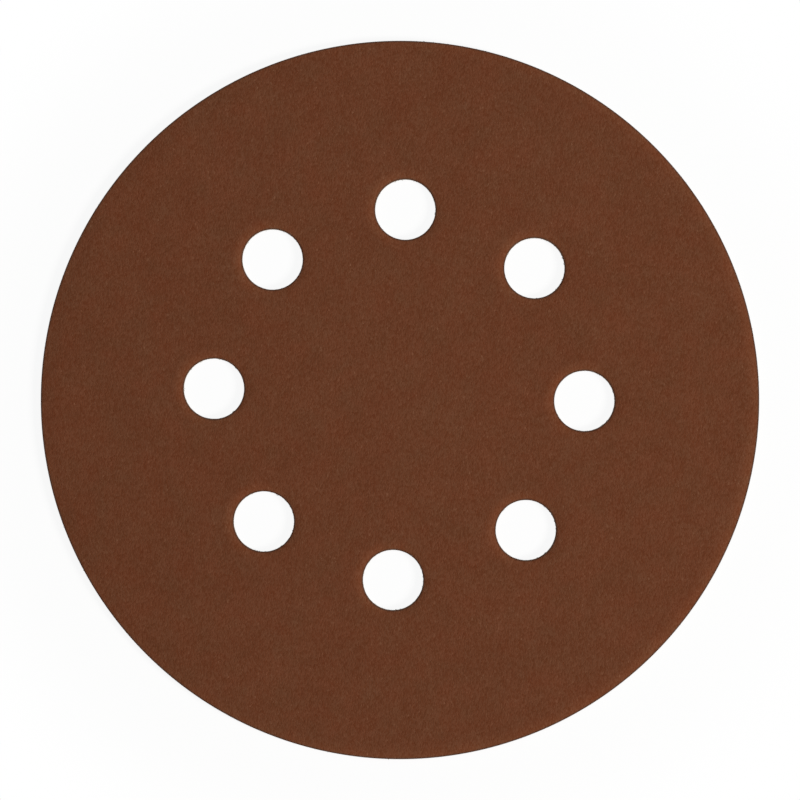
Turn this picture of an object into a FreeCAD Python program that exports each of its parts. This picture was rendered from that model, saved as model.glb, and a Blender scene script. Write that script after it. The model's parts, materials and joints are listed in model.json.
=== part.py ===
import FreeCAD, Part
import math
import os

import Sketcher

# Hook and loop sanding disc in millimetres. Three layers are bonded face to face and punched together:
# loop fabric below, paper in the middle and grain set in resin on top.
# The punch bends the coated face down a little at every cut edge, where the soft loops give way under it.
# The disc lies on its loop face, z is up, and the origin is the middle of that face.
# The first dust hole lies towards +y.

# Each row of the sheet: alias, size, what the size is.
DRIVING_SIZES = (
    ("disc_diameter", 125.0, "outside diameter of the punched disc"),
    ("hole_diameter", 10.5, "diameter of each dust hole"),
    ("hole_count", 8, "dust holes on the circle"),
    ("pitch_circle_diameter", 64.5, "diameter of the circle through the hole centres"),
    ("punch_offset_x", -0.17, "how far the hole circle sits off the disc's centre along x"),
    ("punch_offset_y", 0.89, "how far the hole circle sits off the disc's centre along y"),
    ("loop_thickness", 0.95, "loop fabric, from the floor to the paper"),
    ("paper_thickness", 0.25, "paper sheet between coat and loops"),
    ("coat_thickness", 0.2, "grain and resin above the paper"),
    ("rim_bend_width", 3.0, "how far in from its rim the disc bends down"),
    ("rim_bend_drop", 0.25, "how far the bend lowers the rim"),
    ("hole_bend_width", 2.0, "how far round a hole the disc bends down"),
    ("hole_bend_drop", 0.28, "how far the bend lowers the edge of a hole"),
    ("pile_edge_round", 0.2, "radius of the loop pile at the floor along its cut edges"),
)

# The layers under and up to each joint of the laminate, from the floor up.
UP_TO_PAPER = ("loop_thickness",)
UP_TO_COAT = ("loop_thickness", "paper_thickness")
WHOLE_DISC = ("loop_thickness", "paper_thickness", "coat_thickness")

UP = FreeCAD.Vector(0, 0, 1)
FULL_TURN = 360.0
# The pile's rounding takes at most this share of the wall that the deeper bend leaves of the loops.
MOST_OF_WALL = 0.9
FLOOR_TOLERANCE = 1e-6

# How a sketch numbers its origin point, and the points of an arc, a circle or a line.
SKETCH_ORIGIN = (-1, 1)
START, END, CENTRE = range(1, 4)


def add_size_sheet(doc):
    """Writes each driving size into the sheet as plain text, under its own alias."""
    sheet = doc.addObject("Spreadsheet::Sheet", "Sizes")
    for row, (alias, size, meaning) in enumerate(DRIVING_SIZES, start=1):
        sheet.set(f"A{row}", meaning)
        sheet.set(f"B{row}", str(size))
        sheet.setAlias(f"B{row}", alias)
    doc.recompute()
    return sheet


def add_sketch(body, name, plane):
    """An empty sketch on the body's origin plane with this role, such as XY_Plane."""
    sketch = body.newObject("Sketcher::SketchObject", f"{body.Label}_{name}")
    support = [feature for feature in body.Origin.OriginFeatures if feature.Role == plane]
    sketch.AttachmentSupport = [(support[0], "")]
    sketch.MapMode = "FlatFace"
    return sketch


def constrain(sketch, expression, kind, *places_and_size):
    """Adds a constraint of one kind, whose size then follows the sheet."""
    number = sketch.addConstraint(Sketcher.Constraint(kind, *places_and_size))
    sketch.setExpression(f"Constraints[{number}]", expression)


def check_cuts(before, after):
    """Stops the build if a cut takes nothing away, as one that points off the solid does."""
    if after.Shape.Volume >= before.Shape.Volume:
        raise ValueError(f"{after.Label} cuts nothing")


def add_blank(body, sheet, height):
    """The round blank, from the floor up to this height."""
    sketch = add_sketch(body, "outline", "XY_Plane")
    middle = FreeCAD.Vector(0, 0, 0)
    rim = sketch.addGeometry(Part.Circle(middle, UP, sheet.disc_diameter / 2), False)
    sketch.addConstraint(Sketcher.Constraint("Coincident", rim, CENTRE, *SKETCH_ORIGIN))
    constrain(sketch, "Sizes.disc_diameter", "Diameter", rim, sheet.disc_diameter)

    blank = body.newObject("PartDesign::Pad", f"{body.Label}_blank")
    blank.Profile = sketch
    blank.setExpression("Length", height)
    return blank


def add_first_hole(body, sheet):
    """The dust hole towards +y, punched right through, and the sketch that places it."""
    sketch = add_sketch(body, "hole", "XY_Plane")
    sketch.setExpression("AttachmentOffset.Base.x", "Sizes.punch_offset_x")
    sketch.setExpression("AttachmentOffset.Base.y", "Sizes.punch_offset_y")
    pitch_radius = sheet.pitch_circle_diameter / 2
    middle = FreeCAD.Vector(0, pitch_radius, 0)
    edge = sketch.addGeometry(Part.Circle(middle, UP, sheet.hole_diameter / 2), False)
    sketch.addConstraint(Sketcher.Constraint("Vertical", *SKETCH_ORIGIN, edge, CENTRE))
    constrain(sketch, "Sizes.hole_diameter", "Diameter", edge, sheet.hole_diameter)
    reach = (*SKETCH_ORIGIN, edge, CENTRE, pitch_radius)
    constrain(sketch, "Sizes.pitch_circle_diameter / 2", "DistanceY", *reach)

    punch = body.newObject("PartDesign::Pocket", f"{body.Label}_first_hole")
    punch.Profile = sketch
    punch.Type = "ThroughAll"
    punch.Reversed = True
    return punch, sketch


def draw_bend(sketch, sheet, height, edge, inward):
    """Draws the section that a bend takes off the top face, with a cut edge's middle as its y axis.

    edge is rim or hole and names the bend's sizes. inward is -1 where the solid lies nearer to the
    middle than the cut edge, and 1 where it lies further out. The arc leaves the top face level.
    """
    diameter = {"rim": "disc_diameter", "hole": "hole_diameter"}[edge]
    radius = sheet.get(diameter) / 2
    width = sheet.get(f"{edge}_bend_width")
    drop = sheet.get(f"{edge}_bend_drop")
    top = sum(sheet.get(layer) for layer in height)
    bend_radius = (width**2 + drop**2) / (2 * drop)
    level = FreeCAD.Vector(radius + inward * width, top, 0)
    low = FreeCAD.Vector(radius, top - drop, 0)
    corner = FreeCAD.Vector(radius, top, 0)
    centre = FreeCAD.Vector(level.x, top - bend_radius, 0)

    turn = math.asin(width / bend_radius)
    quarter = math.pi / 2
    first, last = (quarter - turn, quarter) if inward < 0 else (quarter, quarter + turn)
    low_point, level_point = (START, END) if inward < 0 else (END, START)
    circle = Part.Circle(centre, UP, bend_radius)
    arc = sketch.addGeometry(Part.ArcOfCircle(circle, first, last), False)
    wall = sketch.addGeometry(Part.LineSegment(low, corner), False)
    face = sketch.addGeometry(Part.LineSegment(corner, level), False)

    for constraint in (
        ("Coincident", arc, low_point, wall, START),
        ("Coincident", wall, END, face, START),
        ("Coincident", face, END, arc, level_point),
        ("Vertical", wall),
        ("Horizontal", face),
        ("Vertical", arc, CENTRE, arc, level_point),
    ):
        sketch.addConstraint(Sketcher.Constraint(*constraint))
    across = (face, START, face, END) if inward > 0 else (face, END, face, START)
    constrain(sketch, f"Sizes.{diameter} / 2", "DistanceX", *SKETCH_ORIGIN, wall, END, radius)
    constrain(sketch, stacked(height), "DistanceY", *SKETCH_ORIGIN, wall, END, top)
    constrain(sketch, f"Sizes.{edge}_bend_width", "DistanceX", *across, width)
    constrain(sketch, f"Sizes.{edge}_bend_drop", "DistanceY", wall, START, wall, END, drop)


def add_bend(body, sheet, height, edge, inward):
    """The groove that bends the top face down towards the rim or the first hole."""
    sketch = add_sketch(body, f"{edge}_bend_section", "XZ_Plane")
    if edge == "hole":
        first_hole = "Sizes.punch_offset_y + Sizes.pitch_circle_diameter / 2"
        sketch.setExpression("AttachmentOffset.Base.x", "Sizes.punch_offset_x")
        sketch.setExpression("AttachmentOffset.Base.z", f"-({first_hole})")
    draw_bend(sketch, sheet, height, edge, inward)
    groove = body.newObject("PartDesign::Groove", f"{body.Label}_{edge}_bend")
    groove.Profile = sketch
    groove.ReferenceAxis = (sketch, ["V_Axis"])
    groove.Angle = FULL_TURN
    return groove


def stacked(height):
    """The summed thickness of these layers, as an expression."""
    return " + ".join(f"Sizes.{layer}" for layer in height)


def add_slab(doc, sheet, label, height):
    """The punched and bent disc, from the floor to the top of these layers."""
    body = doc.addObject("PartDesign::Body", label)
    body.Label = label
    blank = add_blank(body, sheet, stacked(height))
    doc.recompute()
    rim_bend = add_bend(body, sheet, height, "rim", -1)
    doc.recompute()
    check_cuts(blank, rim_bend)
    punch, hole_sketch = add_first_hole(body, sheet)
    doc.recompute()
    check_cuts(rim_bend, punch)
    hole_bend = add_bend(body, sheet, height, "hole", 1)
    doc.recompute()
    check_cuts(punch, hole_bend)

    ring = body.newObject("PartDesign::PolarPattern", f"{label}_dust_holes")
    ring.Originals = [punch, hole_bend]
    ring.Axis = (hole_sketch, ["N_Axis"])
    ring.Angle = FULL_TURN
    ring.setExpression("Occurrences", "Sizes.hole_count")
    body.Tip = ring
    doc.recompute()
    check_cuts(hole_bend, ring)
    return body


def floor_face(shape):
    """The name of the flat face on the floor."""
    for number, face in enumerate(shape.Faces, start=1):
        if isinstance(face.Surface, Part.Plane) and abs(face.CenterOfMass.z) < FLOOR_TOLERANCE:
            return f"Face{number}"
    raise ValueError("nothing lies on the floor")


def add_backing_loops(doc, sheet):
    """The loop fabric. Its pile rounds off where it meets the floor at each cut edge."""
    body = add_slab(doc, sheet, "backing_loops", UP_TO_PAPER)
    square = body.Tip
    pile_edge = body.newObject("PartDesign::Fillet", "backing_loops_pile_edge")
    pile_edge.Base = (square, [floor_face(square.Shape)])
    drop = "max(Sizes.rim_bend_drop; Sizes.hole_bend_drop)"
    most = f"{MOST_OF_WALL} * (Sizes.loop_thickness - {drop})"
    pile_edge.setExpression("Radius", f"min(Sizes.pile_edge_round; {most})")
    body.Tip = pile_edge
    doc.recompute()
    check_cuts(square, pile_edge)
    return body


def add_layer_between(doc, label, lower, upper):
    """The layer that a slab has more than a lower one, from joint to joint of the laminate."""
    layer = doc.addObject("Part::Cut", label)
    layer.Label = label
    layer.Base = upper
    layer.Tool = lower
    return layer


def check_document(doc, layers):
    """Stops the build if any object failed or any layer isn't one sound solid."""
    for item in doc.Objects:
        if "Invalid" in item.State or "Error" in item.State:
            raise ValueError(f"{item.Label} failed: {item.State}")
    for layer in layers:
        shape = layer.Shape
        if shape.isNull() or not shape.isValid() or len(shape.Solids) != 1:
            raise ValueError(f"{layer.Label} isn't one sound solid")


def main():
    doc = FreeCAD.newDocument("SandingDisc")
    sheet = add_size_sheet(doc)
    below_paper = add_slab(doc, sheet, "below_paper", UP_TO_PAPER)
    below_coat = add_slab(doc, sheet, "below_coat", UP_TO_COAT)
    whole_disc = add_slab(doc, sheet, "whole_disc", WHOLE_DISC)
    layers = (
        add_backing_loops(doc, sheet),
        add_layer_between(doc, "backing_paper", below_paper, below_coat),
        add_layer_between(doc, "grain_coat", below_coat, whole_disc),
    )
    doc.recompute()
    check_document(doc, layers)
    os.makedirs("parts", exist_ok=True)
    for layer in layers:
        layer.Shape.exportStep(f"parts/{layer.Label}.step")
        print(layer.Label, "volume", round(layer.Shape.Volume, 3))


main()
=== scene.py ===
import json
import math

import bpy
import numpy as np
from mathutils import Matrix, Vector
from mathutils.geometry import delaunay_2d_cdt


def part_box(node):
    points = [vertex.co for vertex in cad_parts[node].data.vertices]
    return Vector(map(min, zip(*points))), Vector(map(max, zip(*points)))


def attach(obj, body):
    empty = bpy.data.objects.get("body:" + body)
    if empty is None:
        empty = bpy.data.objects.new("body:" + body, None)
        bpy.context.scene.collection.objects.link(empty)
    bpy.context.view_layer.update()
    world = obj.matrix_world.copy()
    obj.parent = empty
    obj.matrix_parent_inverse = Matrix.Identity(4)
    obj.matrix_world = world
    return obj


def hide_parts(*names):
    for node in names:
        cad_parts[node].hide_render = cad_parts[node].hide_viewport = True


# The looks of a hook and loop sanding disc, in metres: a brown gritty coat on paper, backed with a loop
# fabric. Each layer is a closed mesh over its plain solid, and all three share their cut edges.

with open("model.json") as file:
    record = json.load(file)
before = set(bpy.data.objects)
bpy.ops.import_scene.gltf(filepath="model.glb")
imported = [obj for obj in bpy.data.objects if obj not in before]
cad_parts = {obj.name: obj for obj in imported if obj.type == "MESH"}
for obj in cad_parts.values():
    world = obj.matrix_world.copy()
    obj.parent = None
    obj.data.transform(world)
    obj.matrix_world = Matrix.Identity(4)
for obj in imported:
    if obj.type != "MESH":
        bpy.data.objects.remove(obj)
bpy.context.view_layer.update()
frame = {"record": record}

MM = 0.001
SEED = 11

# Decimal places of a size in metres, for sizes that are read off the solids.
TENTH_OF_MM = 4
MICROMETRE = 6

# How the punch bends the coated face down at the cut edges, as in the solids.
RIM_BEND_WIDTH = 3.0 * MM
RIM_BEND_DROP = 0.25 * MM
HOLE_BEND_WIDTH = 2.0 * MM
HOLE_BEND_DROP = 0.28 * MM

# Mesh points: rows beside each cut edge, so that the surface follows its bend, and scattered ones elsewhere.
RIM_STEP = 0.45 * MM
HOLE_STEP = 0.3 * MM
ROWS_FROM_EDGE = (0.0, 0.14 * MM, 0.34 * MM, 0.62 * MM)
ROW_CLEARANCE = 0.6
POINT_SHAKE = 0.28
SAME_POINT = 1e-9
FLAT_TRIANGLE = 1e-14
SHARP_ANGLE = math.radians(50)

# Abrasive coat: uneven with grit, and crushed at the cut edges.
GRIT_PITCH = 0.45 * MM
GRIT_HEIGHT = 0.012 * MM
COAT_UNDERSIDE_PITCH = 3.0 * MM
CRUSH_DEPTH = 0.03 * MM
CRUSH_REACH = 0.22 * MM

# Paper.
PAPER_PITCH = 2.5 * MM

# Loop fabric: a knitted mat under the paper with loops that hang out of it down to the floor. Where the disc
# bends down, the mat gives way by part of the drop and the loops by the rest.
MAT_THICKNESS = 0.6 * MM
MAT_GIVE = 0.6
MAT_PITCH = 0.6 * MM
MAT_WALL_ROWS = 4
MAT_WALL_SHAKE = 0.04 * MM
RIB_SPACING = 0.9 * MM
RIB_HEIGHT = 0.06 * MM

# Loops. The ones along the cut edges stand closer together and follow the edge. The spread of the tips is
# their height above the floor in yarn radii.
LOOP_SPACING = 1.0 * MM
LOOP_SPAN = 0.6 * MM
LOOP_SPAN_SPREAD = (0.8, 1.25)
LOOP_TIP_SPREAD = (1.1, 2.6)
LOOP_ROOT_DEPTH = 0.12 * MM
LOOP_STEPS = 5
LOOP_LEAN = 0.2 * MM
LOOP_TURN = 0.7
LOOP_EDGE_MARGIN = 0.7 * MM
EDGE_LOOP_SPACING = 0.42 * MM
EDGE_LOOP_ROWS = (0.1 * MM, 0.4 * MM)
EDGE_LOOP_LEAN = 0.06 * MM
EDGE_LOOP_TURN = 0.3
YARN_RADIUS = 0.05 * MM
YARN_SIDES = 3
PILE_PIECES = 3

# Where the spread of a noise lies, for colours that follow it.
NOISE_LOW = 0.3
NOISE_HIGH = 0.7

# Finish of the coat: grains, a few of them painted lighter as glints, under slow patches of resin and of
# hue.
# The grains are drawn out nearly along y, the way in which the paper ran when it was coated.
GRAIN_SIZE = 0.21 * MM
GRAIN_STRETCH = 1.7
GRAIN_TURN = math.radians(12)
GRAIN_RELIEF = 0.07 * MM
GRAIN_BUMP = 0.5
GRAIN_DETAIL = 1.5
GRAIN_DARK = (0.116, 0.0328, 0.0127)
GRAIN_LIGHT = (0.1525, 0.0556, 0.0275)
# A few grains painted lighter, as glints.
PAINTED_GLINT_GRAIN = (0.19, 0.079, 0.042)
PAINTED_GLINT_FROM = 0.9
RESIN_PATCH = 6.0 * MM
RESIN_DARK = (0.967, 0.958, 0.95)
RESIN_LIGHT = (1.033, 1.042, 1.05)
HUE_PATCH = 3.6 * MM
HUE_RED = (1.026, 0.97, 0.958)
HUE_GREEN = (0.974, 1.03, 1.042)
PATCH_DETAIL = 2.0
COAT_ROUGHNESS = 0.85
COAT_SPECULAR = 0.01

# Tint of the coat by its distance from a cut: darker where crushed and bluer with painted shade right at the
# cut, lighter a little further in, then sound.
EDGE_TINT_WIDTH = 3.0 * MM
CRUSHED_SHADE_WIDTH = 0.1 * MM
LIGHTER_BAND_WIDTH = 0.36 * MM
SOUND_WIDTH = 2.0 * MM
# The first tint darkens the crushed coat and paints a bluish shade on it; the second makes a lighter band.
CRUSHED_SHADE_TINT = (0.62, 0.85, 1.1)
LIGHTER_BAND_TINT = (1.12, 1.12, 1.1)
SOUND_TINT = (1.0, 1.0, 1.0)

# Finish of the paper.
PAPER_DARK = (0.27, 0.16, 0.08)
PAPER_LIGHT = (0.44, 0.29, 0.16)
FIBRE_SIZE = 0.25 * MM
FIBRE_DETAIL = 4.0
FIBRE_CONTRAST = 0.65
FIBRE_RELIEF = 0.03 * MM
FIBRE_BUMP = 0.5
PAPER_ROUGHNESS = 0.9
PAPER_SPECULAR = 0.2

# Finish of the yarn in the mat and in the loops.
YARN_DARK = (0.4, 0.385, 0.345)
YARN_LIGHT = (0.62, 0.6, 0.55)
MAT_YARN_SIZE = 0.3 * MM
LOOP_YARN_SIZE = 0.15 * MM
YARN_DETAIL = 3.0
YARN_RELIEF = 0.04 * MM
YARN_BUMP = 0.6
YARN_ROUGHNESS = 0.85
YARN_SPECULAR = 0.25
YARN_SHEEN = 0.15

# Floor. It is seen as white, with a share of real shading that fades out beyond the disc's shadow.
FLOOR_SIDE = 6.0
FLOOR_GAP = 0.02 * MM
FLOOR_SHADE = (0.9, 0.9, 0.9)
FLOOR_WHITE_SHARE = 0.9
SHADOW_REACH = 66.0 * MM
SHADOW_END = 92.0 * MM
WHITE = (1.0, 1.0, 1.0)

# Light. Azimuth 0 is to the right in the photograph.
KEY_LAMP = {"azimuth": -22, "elevation": 32, "distance": 1.3, "side": 0.4, "power": 18.6,
            "colour": (1.0, 0.96, 0.91)}
FILL_LAMP = {"azimuth": 95, "elevation": 75, "distance": 0.3, "side": 0.2, "power": 0.27,
             "colour": (0.89, 0.96, 1.0)}
WORLD_LIGHT = 0.14
WORLD_COLOUR = (0.94, 0.97, 1.0)

# Photograph: where the disc and its ring of holes lie in it, and the lens that it is seen through.
IMAGE_SIDE_PX = 800
DISC_RADIUS_PX = 359.35
DISC_CENTRE_PX = (399.5, 399.5)
RING_TURN_CLOCKWISE = math.radians(1.893)
LENS = 0.2
SENSOR = 0.036
CAMERA_REACH = 20.0


def disc_sizes():
    """The disc's radius, the heights of its layers and its ring of holes, from the solids and the record."""
    low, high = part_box("backing_loops")
    radius = round((high.x - low.x) / 2, TENTH_OF_MM)
    layers = ("backing_loops", "backing_paper", "grain_coat")
    heights = [round(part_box(layer)[1].z, MICROMETRE) for layer in layers]
    ring = next(mount for mount in frame["record"]["mounts"] if mount["name"] == "dust_holes")
    pitch_radius = ring["dims"]["pcd_mm"] * MM / 2
    holes = []
    for number in range(ring["dims"]["count"]):
        turn = 2 * math.pi * number / ring["dims"]["count"]
        x = ring["pos_m"][0] + pitch_radius * math.sin(turn)
        y = ring["pos_m"][1] + pitch_radius * math.cos(turn)
        holes.append((x, y, ring["dims"]["hole_r_mm"] * MM))
    return radius, heights, holes


DISC_RADIUS, (LOOPS_TOP, PAPER_TOP, COAT_TOP), HOLES = disc_sizes()
EDGE_CENTRES = [(0.0, 0.0)] + [(x, y) for x, y, _ in HOLES]


def edge_distances(x, y):
    """How far points lie in from the rim and out from each hole, one row for each edge."""
    from_rim = DISC_RADIUS - np.hypot(x, y)
    from_holes = [np.hypot(x - hole_x, y - hole_y) - radius for hole_x, hole_y, radius in HOLES]
    return np.array([from_rim] + from_holes)


def arc_drop(distance, width, drop):
    """How far an arc that leaves a flat face at this width has dropped, this far from the edge."""
    bend_radius = (width**2 + drop**2) / (2 * drop)
    into_bend = np.clip(width - distance, 0, width)
    return bend_radius - np.sqrt(bend_radius**2 - into_bend**2)


def bend_drop(x, y):
    """How far the bends at the rim and at the holes lower a layer."""
    from_rim, *from_holes = edge_distances(x, y)
    rim = arc_drop(from_rim, RIM_BEND_WIDTH, RIM_BEND_DROP)
    hole = arc_drop(np.min(from_holes, axis=0), HOLE_BEND_WIDTH, HOLE_BEND_DROP)
    return np.maximum(rim, hole)


def circle(x, y, radius, step):
    """Points on a circle, about one step apart."""
    count = round(2 * math.pi * radius / step)
    turn = np.arange(count) * 2 * math.pi / count
    return np.stack([x + radius * np.cos(turn), y + radius * np.sin(turn)], axis=1)


def rings_beside_edges(distances, rim_step=RIM_STEP, hole_step=HOLE_STEP):
    """At each of these distances, one ring of points beside the rim and then one beside each hole."""
    rings = []
    for distance in distances:
        rings.append(circle(0, 0, DISC_RADIUS - distance, rim_step))
        for x, y, radius in HOLES:
            rings.append(circle(x, y, radius + distance, hole_step))
    return rings


def scattered_points(pitch, clear, rng):
    """Points about one pitch apart over the disc, and this clear of every cut edge."""
    row_pitch = pitch * math.sqrt(3) / 2
    side = np.arange(-DISC_RADIUS, DISC_RADIUS, row_pitch)
    x, y = np.meshgrid(np.arange(-DISC_RADIUS, DISC_RADIUS, pitch), side)
    x[1::2] += pitch / 2
    points = np.stack([x.ravel(), y.ravel()], axis=1)
    points += rng.uniform(-POINT_SHAKE, POINT_SHAKE, points.shape) * pitch
    return points[edge_distances(*points.T).min(axis=0) > clear]


def triangulated(points):
    """Triangles over the disc that leave its holes open, turned so that they face up."""
    flat = [Vector(point) for point in points]
    corners, _, faces, _, _, _ = delaunay_2d_cdt(flat, [], [], 0, SAME_POINT)
    if len(corners) != len(points):
        raise ValueError("two points of a layer fell together")
    faces = np.array(faces)
    a, b, c = points[faces[:, 0]], points[faces[:, 1]], points[faces[:, 2]]
    middle = (a + b + c) / 3
    from_holes = edge_distances(*middle.T)[1:].min(axis=0)
    doubled_area = (b[:, 0] - a[:, 0]) * (c[:, 1] - a[:, 1]) - (b[:, 1] - a[:, 1]) * (c[:, 0] - a[:, 0])
    return faces[(from_holes > 0) & (doubled_area > FLAT_TRIANGLE)]


def layer_face(pitch, rows, rng):
    """Points and triangles of one face of a layer. The points on the cut edges come first."""
    scattered = scattered_points(pitch, rows[-1] + pitch * ROW_CLEARANCE, rng)
    points = np.concatenate(rings_beside_edges(rows) + [scattered])
    return points, triangulated(points)


def bent_face(level):
    """A function that gives the height of a face at this level, lowered by the bends at the cut edges."""

    def height(x, y):
        return level - bend_drop(x, y)

    return height


def mesh_object(name, points, faces):
    """A mesh object of these points and faces."""
    mesh = bpy.data.meshes.new(name)
    mesh.from_pydata(points.tolist(), [], faces)
    mesh.update()
    piece = bpy.data.objects.new(name, mesh)
    bpy.context.scene.collection.objects.link(piece)
    return piece


def edge_walls(top, bottom, rows, shake, rng):
    """Points and faces of the walls at a layer's cut edges, shaken in and out between its faces."""
    points, faces = [], []
    first, next_point = 0, len(top) + len(bottom)
    for centre, edge in zip(EDGE_CENTRES, rings_beside_edges((0.0,))):
        order = first + np.arange(len(edge))
        high, low = top[order], bottom[order]
        outward = edge - centre
        outward /= np.linalg.norm(outward, axis=1, keepdims=True)
        rings = [order]
        for row in range(1, rows):
            ring = high + (low - high) * row / rows
            ring[:, :2] += outward * rng.uniform(-shake, shake, (len(ring), 1))
            points.append(ring)
            rings.append(next_point + np.arange(len(ring)))
            next_point += len(ring)
        rings.append(len(top) + order)
        for above, below in zip(rings, rings[1:]):
            wall = np.column_stack([above, np.roll(above, -1), np.roll(below, -1), below])
            faces.append(wall if first else wall[:, ::-1])
        first += len(edge)
    return points, np.concatenate(faces)


def closed_layer(name, upper, lower, upper_height, lower_height, wall_rows=1, wall_shake=0.0, rng=None):
    """A closed layer between an upper and a lower face, with walls at its cut edges."""
    upper_points, upper_faces = upper
    lower_points, lower_faces = lower
    top = np.column_stack([upper_points, upper_height(*upper_points.T)])
    bottom = np.column_stack([lower_points, lower_height(*lower_points.T)])
    wall_points, wall_faces = edge_walls(top, bottom, wall_rows, wall_shake, rng)
    faces = upper_faces.tolist() + (lower_faces[:, ::-1] + len(top)).tolist() + wall_faces.tolist()
    piece = mesh_object(name, np.concatenate([top, bottom] + wall_points), faces)
    piece.data.shade_smooth()
    piece.data.set_sharp_from_angle(angle=SHARP_ANGLE)
    return piece


def mark_cut_distance(piece):
    """Gives each point its distance from the nearest cut edge, as a share of the width over which the coat's
    tint changes.
    """
    points = np.array([vertex.co for vertex in piece.data.vertices])
    share = np.clip(edge_distances(points[:, 0], points[:, 1]).min(axis=0) / EDGE_TINT_WIDTH, 0, 1)
    attribute = piece.data.attributes.new("from_cut", "FLOAT", "POINT")
    attribute.data.foreach_set("value", share.astype(np.float32))


def build_coat(rng):
    """The abrasive coat: uneven with grit, and crushed a little where it was cut."""
    upper = layer_face(GRIT_PITCH, ROWS_FROM_EDGE, rng)
    lower = layer_face(COAT_UNDERSIDE_PITCH, ROWS_FROM_EDGE[:1], rng)

    def grit_height(x, y):
        from_cut = edge_distances(x, y).min(axis=0).clip(0)
        crushed = CRUSH_DEPTH * np.exp(-from_cut / CRUSH_REACH)
        return COAT_TOP - bend_drop(x, y) - crushed + rng.uniform(-GRIT_HEIGHT, GRIT_HEIGHT, len(x))

    piece = closed_layer("abrasive_coat", upper, lower, grit_height, bent_face(PAPER_TOP))
    mark_cut_distance(piece)
    return piece


def build_paper(rng):
    """The paper sheet under the coat."""
    face = layer_face(PAPER_PITCH, ROWS_FROM_EDGE, rng)
    return closed_layer("paper_sheet", face, face, bent_face(PAPER_TOP), bent_face(LOOPS_TOP))


def mat_underside(x, y):
    """The height of the mat's underside, with the ribs that its knitting makes."""
    rib = RIB_HEIGHT * np.cos(2 * math.pi * x / RIB_SPACING) * np.cos(math.pi * y / RIB_SPACING)
    return LOOPS_TOP - MAT_THICKNESS - MAT_GIVE * bend_drop(x, y) + rib


def build_mat(rng):
    """The knitted mat of the loop fabric, ribbed on its underside."""
    upper = layer_face(PAPER_PITCH, ROWS_FROM_EDGE, rng)
    lower = layer_face(MAT_PITCH, ROWS_FROM_EDGE, rng)
    return closed_layer(
        "loop_mat", upper, lower, bent_face(LOOPS_TOP), mat_underside, MAT_WALL_ROWS, MAT_WALL_SHAKE, rng
    )


def along_cuts(points):
    """The direction, as a turn, in which the nearest cut edge runs past each point."""
    nearest = edge_distances(*points.T).argmin(axis=0)
    outward = points - np.array(EDGE_CENTRES)[nearest]
    return np.arctan2(outward[:, 1], outward[:, 0]) + math.pi / 2


def loop_lines(roots, turn, most_lean, rng):
    """The middle lines of loops that hang in arches from the mat down to the floor, turned this way."""
    count = len(roots)
    along = np.linspace(0, math.pi, LOOP_STEPS + 1)
    bow = np.sin(along)
    span = LOOP_SPAN * rng.uniform(*LOOP_SPAN_SPREAD, (count, 1))
    lean = rng.normal(0, most_lean, (count, 2))
    root_height = (mat_underside(*roots.T) + LOOP_ROOT_DEPTH)[:, None]
    tip_height = YARN_RADIUS * rng.uniform(*LOOP_TIP_SPREAD, (count, 1))
    offset = -np.cos(along) * span / 2
    x = roots[:, :1] + np.cos(turn) * offset + lean[:, :1] * bow
    y = roots[:, 1:] + np.sin(turn) * offset + lean[:, 1:] * bow
    z = root_height - (root_height - tip_height) * bow
    return np.stack([x, y, z], axis=2)


def yarn_tubes(name, lines, turn):
    """Closed tubes of yarn round these middle lines, each turned this way."""
    tangent = np.gradient(lines, axis=1)
    tangent /= np.linalg.norm(tangent, axis=2, keepdims=True)
    side = np.stack([-np.sin(turn), np.cos(turn), np.zeros_like(turn)], axis=2)
    side = side - tangent * (tangent * side).sum(axis=2, keepdims=True)
    side /= np.linalg.norm(side, axis=2, keepdims=True)
    out = np.cross(tangent, side)
    around = (np.arange(YARN_SIDES) * 2 * math.pi / YARN_SIDES)[:, None]
    ring = side[:, :, None] * np.cos(around) + out[:, :, None] * np.sin(around)
    points = (lines[:, :, None] + YARN_RADIUS * ring).reshape(-1, 3)

    corner = np.arange(YARN_SIDES)
    after = np.roll(corner, -1)
    here = np.arange(LOOP_STEPS)[:, None] * YARN_SIDES
    there = here + YARN_SIDES
    sides = np.stack([here + corner, here + after, there + after, there + corner], axis=2).reshape(-1, 4)
    caps = np.array([corner[::-1], LOOP_STEPS * YARN_SIDES + corner])
    starts = np.arange(len(lines))[:, None, None] * (LOOP_STEPS + 1) * YARN_SIDES
    faces = (starts + sides).reshape(-1, 4).tolist() + (starts + caps).reshape(-1, YARN_SIDES).tolist()
    return mesh_object(name, points, faces)


def build_loops(name, roots, turn, most_lean, rng):
    """One piece of loops that stand on these roots, turned this way and leaning at random."""
    turn = turn[:, None]
    return yarn_tubes(name, loop_lines(roots, turn, most_lean, rng), turn)


def build_piles(rng):
    """The pile as a few pieces side by side, and the loops along the cut edges as one more."""
    roots = scattered_points(LOOP_SPACING, LOOP_EDGE_MARGIN, rng)
    order = np.argsort(roots[:, 0], kind="stable")
    piles = []
    for number, share in enumerate(np.array_split(roots[order], PILE_PIECES), start=1):
        turn = rng.normal(0, LOOP_TURN, len(share))
        piles.append(build_loops(f"loop_pile_{number}", share, turn, LOOP_LEAN, rng))
    edge_roots = np.concatenate(rings_beside_edges(EDGE_LOOP_ROWS, EDGE_LOOP_SPACING, EDGE_LOOP_SPACING))
    turn = along_cuts(edge_roots) + rng.normal(0, EDGE_LOOP_TURN, len(edge_roots))
    return piles + [build_loops("edge_pile", edge_roots, turn, EDGE_LOOP_LEAN, rng)]


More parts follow.
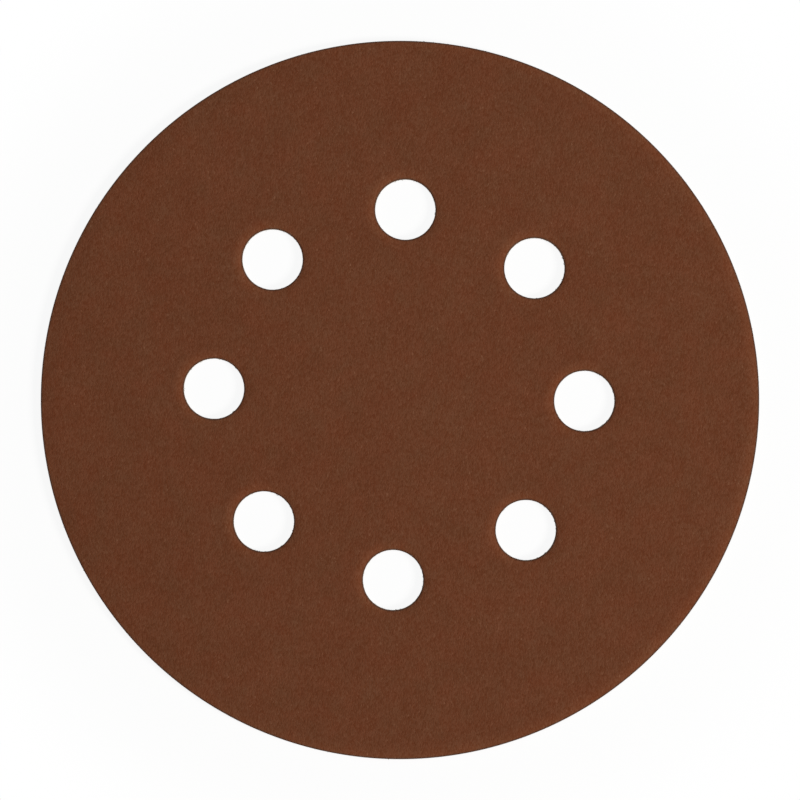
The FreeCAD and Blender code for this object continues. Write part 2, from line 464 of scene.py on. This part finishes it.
class Nodes:
    """A node tree whose nodes are added by type. Its methods take output sockets and most return one."""

    def __init__(self, tree):
        self.tree = tree
        self.tree.nodes.clear()

    def add(self, kind, **settings):
        """A node of this type, with these settings and input values."""
        node = self.tree.nodes.new(kind)
        for key, value in settings.items():
            if key in node.inputs:
                node.inputs[key].default_value = value
            else:
                setattr(node, key, value)
        return node

    def link(self, output, node, socket):
        self.tree.links.new(output, node.inputs[socket])

    def place(self):
        """The place on the disc, in metres."""
        return self.add("ShaderNodeTexCoord").outputs["Object"]

    def drawn_out(self, place, times, turn):
        """A place where patterns are this many times as long in one direction, y turned by this much."""
        node = self.add(
            "ShaderNodeMapping", vector_type="TEXTURE", Rotation=(0, 0, turn), Scale=(1, times, 1)
        )
        self.link(place, node, "Vector")
        return node.outputs["Vector"]

    def noise(self, place, size, detail, roughness=0.5):
        """Noise whose patches are about this size in metres."""
        node = self.add("ShaderNodeTexNoise", Scale=1 / size, Detail=detail, Roughness=roughness)
        self.link(place, node, "Vector")
        return node.outputs["Fac"]

    def ramp(self, number, stops):
        """Colours by a number. Each stop is a number and the colour there."""
        node = self.add("ShaderNodeValToRGB")
        first, *middle, last = stops
        for element, (position, colour) in zip(node.color_ramp.elements, (first, last)):
            element.position = position
            element.color = (*colour, 1)
        for position, colour in middle:
            node.color_ramp.elements.new(position).color = (*colour, 1)
        self.link(number, node, "Fac")
        return node.outputs["Color"]

    def work_out(self, kind, operation, first, second):
        """The result of an operation on two outputs, by a maths node of this type."""
        node = self.add(kind, operation=operation)
        self.link(first, node, 0)
        self.link(second, node, 1)
        return node.outputs[0]

    def number(self, operation, first, second):
        """A number worked out from two numbers."""
        return self.work_out("ShaderNodeMath", operation, first, second)

    def product(self, first, second):
        """The product of two colours."""
        return self.work_out("ShaderNodeVectorMath", "MULTIPLY", first, second)

    def matt(self, colour, height, bump, relief, roughness, specular, sheen=0.0):
        """Shows a matt surface of this colour with a relief that follows the height."""
        bumps = self.add("ShaderNodeBump", Strength=bump, Distance=relief)
        self.link(height, bumps, "Height")
        shader = self.add("ShaderNodeBsdfPrincipled", Roughness=roughness)
        shader.inputs["Specular IOR Level"].default_value = specular
        shader.inputs["Sheen Weight"].default_value = sheen
        self.link(colour, shader, "Base Color")
        self.link(bumps.outputs["Normal"], shader, "Normal")
        self.link(shader.outputs["BSDF"], self.add("ShaderNodeOutputMaterial"), "Surface")

    def seen(self):
        """A number that is 1 for what is seen, straight, in a gloss or through glass, and 0 for light."""
        rays = self.add("ShaderNodeLightPath").outputs
        straight_or_gloss = self.number("MAXIMUM", rays["Is Camera Ray"], rays["Is Glossy Ray"])
        return self.number("MAXIMUM", straight_or_gloss, rays["Is Transmission Ray"])

    def mix(self, share, shader, white, target):
        """Shows one shader with a share of another in it."""
        mix = self.add("ShaderNodeMixShader")
        self.link(share, mix, "Fac")
        self.link(shader.outputs[0], mix, 1)
        self.link(white.outputs[0], mix, 2)
        self.link(mix.outputs["Shader"], self.add(target), "Surface")


def new_material(name):
    """A material with an empty node tree."""
    material = bpy.data.materials.new(name)
    material.use_nodes = True
    return material, Nodes(material.node_tree)


def grit_material():
    """Brown grain set in resin, a few grains painted lighter as glints; darker where crushed and bluer with
    painted shade at the cut, and lighter a little further in.
    """
    material, nodes = new_material("abrasive_grain")
    place = nodes.place()
    along_run = nodes.drawn_out(place, GRAIN_STRETCH, GRAIN_TURN)
    grains = nodes.add("ShaderNodeTexVoronoi", Scale=1 / GRAIN_SIZE)
    nodes.link(along_run, grains, "Vector")
    # The last stop is painted glints: a few grains lighter than the rest.
    stops = ((0.0, GRAIN_DARK), (PAINTED_GLINT_FROM, GRAIN_LIGHT), (1.0, PAINTED_GLINT_GRAIN))
    colour = nodes.ramp(grains.outputs["Color"], stops)
    for size, low, high in ((RESIN_PATCH, RESIN_DARK, RESIN_LIGHT), (HUE_PATCH, HUE_RED, HUE_GREEN)):
        patches = nodes.noise(place, size, PATCH_DETAIL)
        colour = nodes.product(colour, nodes.ramp(patches, ((NOISE_LOW, low), (NOISE_HIGH, high))))

    from_cut = nodes.add("ShaderNodeAttribute", attribute_name="from_cut").outputs["Fac"]
    # Right at the cut: crushed darkening with painted bluish shade. A little further in: a lighter band.
    edge_tints = (
        (0.0, CRUSHED_SHADE_TINT),
        (CRUSHED_SHADE_WIDTH / EDGE_TINT_WIDTH, CRUSHED_SHADE_TINT),
        (LIGHTER_BAND_WIDTH / EDGE_TINT_WIDTH, LIGHTER_BAND_TINT),
        (SOUND_WIDTH / EDGE_TINT_WIDTH, SOUND_TINT),
    )
    colour = nodes.product(colour, nodes.ramp(from_cut, edge_tints))

    fine = nodes.noise(along_run, GRAIN_SIZE / 2, GRAIN_DETAIL)
    height = nodes.number("SUBTRACT", fine, grains.outputs["Distance"])
    nodes.matt(colour, height, GRAIN_BUMP, GRAIN_RELIEF, COAT_ROUGHNESS, COAT_SPECULAR)
    return material


def paper_material():
    """Brown paper with short fibres, seen at its cut edge."""
    material, nodes = new_material("backing_paper")
    fibres = nodes.noise(nodes.place(), FIBRE_SIZE, FIBRE_DETAIL, FIBRE_CONTRAST)
    colour = nodes.ramp(fibres, ((NOISE_LOW, PAPER_DARK), (NOISE_HIGH, PAPER_LIGHT)))
    nodes.matt(colour, fibres, FIBRE_BUMP, FIBRE_RELIEF, PAPER_ROUGHNESS, PAPER_SPECULAR)
    return material


def yarn_material(name, yarn_size):
    """Off-white yarn, matt and a little uneven."""
    material, nodes = new_material(name)
    yarn = nodes.noise(nodes.place(), yarn_size, YARN_DETAIL)
    colour = nodes.ramp(yarn, ((NOISE_LOW, YARN_DARK), (NOISE_HIGH, YARN_LIGHT)))
    nodes.matt(colour, yarn, YARN_BUMP, YARN_RELIEF, YARN_ROUGHNESS, YARN_SPECULAR, YARN_SHEEN)
    return material


def floor_material():
    """A pale floor seen as white, with a share of real shading round the disc so that its shadow shows."""
    material, nodes = new_material("studio_floor")
    reach = nodes.add("ShaderNodeVectorMath", operation="LENGTH")
    nodes.link(nodes.place(), reach, "Vector")
    fade = nodes.add("ShaderNodeMapRange", interpolation_type="SMOOTHSTEP")
    fade.inputs["From Min"].default_value = SHADOW_REACH
    fade.inputs["From Max"].default_value = SHADOW_END
    fade.inputs["To Min"].default_value = FLOOR_WHITE_SHARE
    nodes.link(reach.outputs["Value"], fade, "Value")
    share = nodes.number("MULTIPLY", nodes.seen(), fade.outputs["Result"])
    matt = nodes.add("ShaderNodeBsdfDiffuse", Color=(*FLOOR_SHADE, 1))
    white = nodes.add("ShaderNodeEmission", Color=(*WHITE, 1), Strength=1.0)
    nodes.mix(share, matt, white, "ShaderNodeOutputMaterial")
    return material


def add_floor():
    """The studio floor just under the disc."""
    half = FLOOR_SIDE / 2
    outline = [(-half, -half), (half, -half), (half, half), (-half, half)]
    points = np.array([(x, y, -FLOOR_GAP) for x, y in outline])
    floor = mesh_object("studio_floor", points, [list(range(len(points)))])
    floor.data.materials.append(floor_material())


def add_lamp(name, azimuth, elevation, distance, side, power, colour):
    """A soft square lamp that faces the disc, with its angles in degrees."""
    light = bpy.data.lights.new(name, "AREA")
    light.size = side
    light.energy = power
    light.color = colour
    turn = math.radians(azimuth) + RING_TURN_CLOCKWISE
    rise = math.radians(elevation)
    away = Vector((math.cos(rise) * math.cos(turn), math.cos(rise) * math.sin(turn), math.sin(rise)))
    lamp = bpy.data.objects.new(name, light)
    lamp.location = away * distance
    lamp.rotation_euler = away.to_track_quat("Z", "Y").to_euler()
    bpy.context.scene.collection.objects.link(lamp)


def add_world():
    """Even light from all round, seen as white."""
    world = bpy.data.worlds.new("studio")
    world.use_nodes = True
    nodes = Nodes(world.node_tree)
    light = nodes.add("ShaderNodeBackground", Color=(*WORLD_COLOUR, 1), Strength=WORLD_LIGHT)
    white = nodes.add("ShaderNodeBackground", Color=(*WHITE, 1), Strength=1.0)
    nodes.mix(nodes.seen(), light, white, "ShaderNodeOutputWorld")
    bpy.context.scene.world = world


def add_camera():
    """A long lens straight above the disc, so that it fills the image as in the photograph."""
    camera_data = bpy.data.cameras.new("photo_camera")
    camera_data.sensor_width = SENSOR / MM
    camera_data.lens = LENS / MM
    camera_data.clip_end = CAMERA_REACH
    seen_width = IMAGE_SIDE_PX * DISC_RADIUS / DISC_RADIUS_PX
    middle = (IMAGE_SIDE_PX - 1) / 2
    camera_data.shift_x = (middle - DISC_CENTRE_PX[0]) / IMAGE_SIDE_PX
    camera_data.shift_y = (DISC_CENTRE_PX[1] - middle) / IMAGE_SIDE_PX
    camera = bpy.data.objects.new("photo_camera", camera_data)
    camera.location = (0, 0, COAT_TOP + seen_width * LENS / SENSOR)
    camera.rotation_euler = (0, 0, RING_TURN_CLOCKWISE)
    bpy.context.scene.collection.objects.link(camera)
    bpy.context.scene.camera = camera


def dress(piece, material, node):
    """Gives a piece its material, lets it ride on the disc and stand for its solid."""
    piece.data.materials.append(material)
    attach(piece, "root")
    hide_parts(node)


rng = np.random.default_rng(SEED)
dress(build_coat(rng), grit_material(), "grain_coat")
dress(build_paper(rng), paper_material(), "backing_paper")
dress(build_mat(rng), yarn_material("loop_fabric_mat", MAT_YARN_SIZE), "backing_loops")
pile_material = yarn_material("loop_fabric_pile", LOOP_YARN_SIZE)
for pile in build_piles(rng):
    dress(pile, pile_material, "backing_loops")

add_floor()
add_lamp("key_lamp", **KEY_LAMP)
add_lamp("fill_lamp", **FILL_LAMP)
add_world()
add_camera()
bpy.context.scene.view_settings.view_transform = "Standard"
